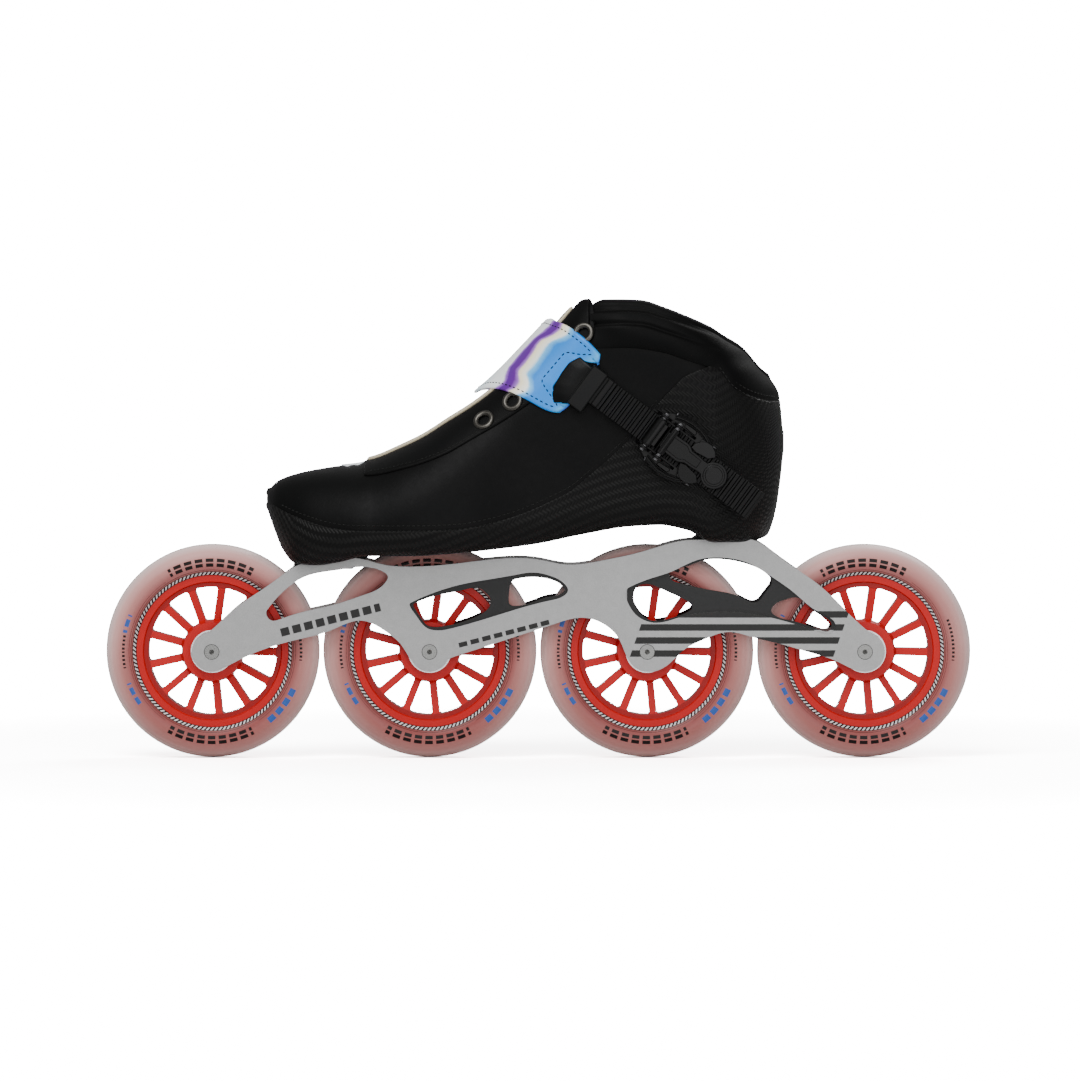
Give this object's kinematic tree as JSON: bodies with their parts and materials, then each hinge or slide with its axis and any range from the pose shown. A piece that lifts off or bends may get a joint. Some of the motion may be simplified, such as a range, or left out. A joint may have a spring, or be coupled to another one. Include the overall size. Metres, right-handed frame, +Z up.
{
  "type": "inline speed skate",
  "caption": "Low-cut left inline speed skate: carbon shell boot with instep strap and ratchet buckle on a straight frame with large wheels in line.",
  "frame": {"origin": "on the ground, in the wheels' plane, midway between the first and last axles", "axes": "-X towards the toe, +X towards the heel, -Y towards the outer side, +Z up"},
  "size_m": [0.4452, 0.0976, 0.2365],
  "materials": {
    "urethane": "cast polyurethane, translucent pale red fading to white",
    "hub_red": "moulded red plastic",
    "bearing_steel": "ground bearing steel",
    "shield_steel": "pressed steel shields",
    "axle_steel": "nickel plated steel",
    "alloy": "bead blasted and clear anodised, black recessed webs",
    "black_alloy": "black anodised",
    "carbon": "satin lacquered carbon twill laminate",
    "leather": "smooth black microfibre leather",
    "lining": "brushed black lining",
    "tongue_cloth": "padded black tongue with a pale edge",
    "eyelet_metal": "nickel plated brass eyelets",
    "holo": "iridescent foil leather, white to violet and blue",
    "buckle_black": "black glass-filled nylon",
    "pin_steel": "dark steel pins"
  },
  "bodies": {
    "boot_and_frame": {"wheel_1_bearing_inner_rings": "bearing_steel", "wheel_1_spacer": "alloy", "wheel_1_axle_bolt": "axle_steel", "wheel_2_bearing_inner_rings": "bearing_steel", "wheel_2_spacer": "alloy", "wheel_2_axle_bolt": "axle_steel", "wheel_3_bearing_inner_rings": "bearing_steel", "wheel_3_spacer": "alloy", "wheel_3_axle_bolt": "axle_steel", "wheel_4_bearing_inner_rings": "bearing_steel", "wheel_4_spacer": "alloy", "wheel_4_axle_bolt": "axle_steel", "rail_outer": "alloy", "rail_inner": "alloy", "bridge_front": "black_alloy", "bridge_rear": "black_alloy", "crossbar_middle": "black_alloy", "mount_bolts": "axle_steel", "sole_insert_front": "black_alloy", "sole_insert_rear": "black_alloy", "carbon_shell": "carbon", "upper": "leather", "collar": "lining", "footbed": "lining", "tongue": "tongue_cloth", "eyestay_outer": "leather", "eyestay_inner": "leather", "eyelets_outer": "eyelet_metal", "eyelets_inner": "eyelet_metal", "buckle_base": "buckle_black", "buckle_saddle": "buckle_black", "buckle_rivets": "pin_steel", "lever_pin": "pin_steel", "pawl_pin": "pin_steel"},
    "wheel_1": {"wheel_1_tyre": "urethane", "wheel_1_hub": "hub_red", "wheel_1_bearing_outer_rings": "bearing_steel", "wheel_1_bearing_shields": "shield_steel"},
    "wheel_1_cages": {"wheel_1_ball_cages": "bearing_steel"},
    "wheel_2": {"wheel_2_tyre": "urethane", "wheel_2_hub": "hub_red", "wheel_2_bearing_outer_rings": "bearing_steel", "wheel_2_bearing_shields": "shield_steel"},
    "wheel_2_cages": {"wheel_2_ball_cages": "bearing_steel"},
    "wheel_3": {"wheel_3_tyre": "urethane", "wheel_3_hub": "hub_red", "wheel_3_bearing_outer_rings": "bearing_steel", "wheel_3_bearing_shields": "shield_steel"},
    "wheel_3_cages": {"wheel_3_ball_cages": "bearing_steel"},
    "wheel_4": {"wheel_4_tyre": "urethane", "wheel_4_hub": "hub_red", "wheel_4_bearing_outer_rings": "bearing_steel", "wheel_4_bearing_shields": "shield_steel"},
    "wheel_4_cages": {"wheel_4_ball_cages": "bearing_steel"},
    "strap": {"instep_strap": "holo", "ladder_strap": "buckle_black", "strap_keeper": "buckle_black"},
    "lever": {"buckle_lever": "buckle_black"},
    "pawl": {"release_pawl": "buckle_black"}
  },
  "joints": [
    {"name": "wheel_1_spin", "type": "hinge", "parent": "boot_and_frame", "child": "wheel_1", "pos_m": [-0.16764, 0, 0.055], "axis": [0, 1, 0], "continuous": true},
    {"name": "wheel_1_cage_spin", "type": "hinge", "parent": "boot_and_frame", "child": "wheel_1_cages", "pos_m": [-0.16764, 0, 0.055], "axis": [0, 1, 0], "continuous": true},
    {"name": "wheel_2_spin", "type": "hinge", "parent": "boot_and_frame", "child": "wheel_2", "pos_m": [-0.05588, 0, 0.055], "axis": [0, 1, 0], "continuous": true},
    {"name": "wheel_2_cage_spin", "type": "hinge", "parent": "boot_and_frame", "child": "wheel_2_cages", "pos_m": [-0.05588, 0, 0.055], "axis": [0, 1, 0], "continuous": true},
    {"name": "wheel_3_spin", "type": "hinge", "parent": "boot_and_frame", "child": "wheel_3", "pos_m": [0.05588, 0, 0.055], "axis": [0, 1, 0], "continuous": true},
    {"name": "wheel_3_cage_spin", "type": "hinge", "parent": "boot_and_frame", "child": "wheel_3_cages", "pos_m": [0.05588, 0, 0.055], "axis": [0, 1, 0], "continuous": true},
    {"name": "wheel_4_spin", "type": "hinge", "parent": "boot_and_frame", "child": "wheel_4", "pos_m": [0.16764, 0, 0.055], "axis": [0, 1, 0], "continuous": true},
    {"name": "wheel_4_cage_spin", "type": "hinge", "parent": "boot_and_frame", "child": "wheel_4_cages", "pos_m": [0.16764, 0, 0.055], "axis": [0, 1, 0], "continuous": true},
    {"name": "strap_slide", "type": "slide", "parent": "boot_and_frame", "child": "strap", "axis": [-0.8039, 0, 0.5948], "range_m": [0, 0.0144]},
    {"name": "lever_lift", "type": "hinge", "parent": "boot_and_frame", "child": "lever", "pos_m": [0.066, -0.0465, 0.1635], "axis": [-0.5948, 0, -0.8039], "range_deg": [0, 70], "stiffness_Nm_per_rad": 0.01, "springref_deg": -11.46},
    {"name": "pawl_release", "type": "hinge", "parent": "boot_and_frame", "child": "pawl", "pos_m": [0.05909, -0.0465, 0.16861], "axis": [-0.5948, 0, -0.8039], "range_deg": [0, 15], "stiffness_Nm_per_rad": 0.01, "springref_deg": -11.46}
  ],
  "couplings": [
    {"joint": "wheel_1_cage_spin", "follows": "wheel_1_spin", "ratio": 0.632},
    {"joint": "wheel_2_cage_spin", "follows": "wheel_2_spin", "ratio": 0.632},
    {"joint": "wheel_3_cage_spin", "follows": "wheel_3_spin", "ratio": 0.632},
    {"joint": "wheel_4_cage_spin", "follows": "wheel_4_spin", "ratio": 0.632}
  ]
}
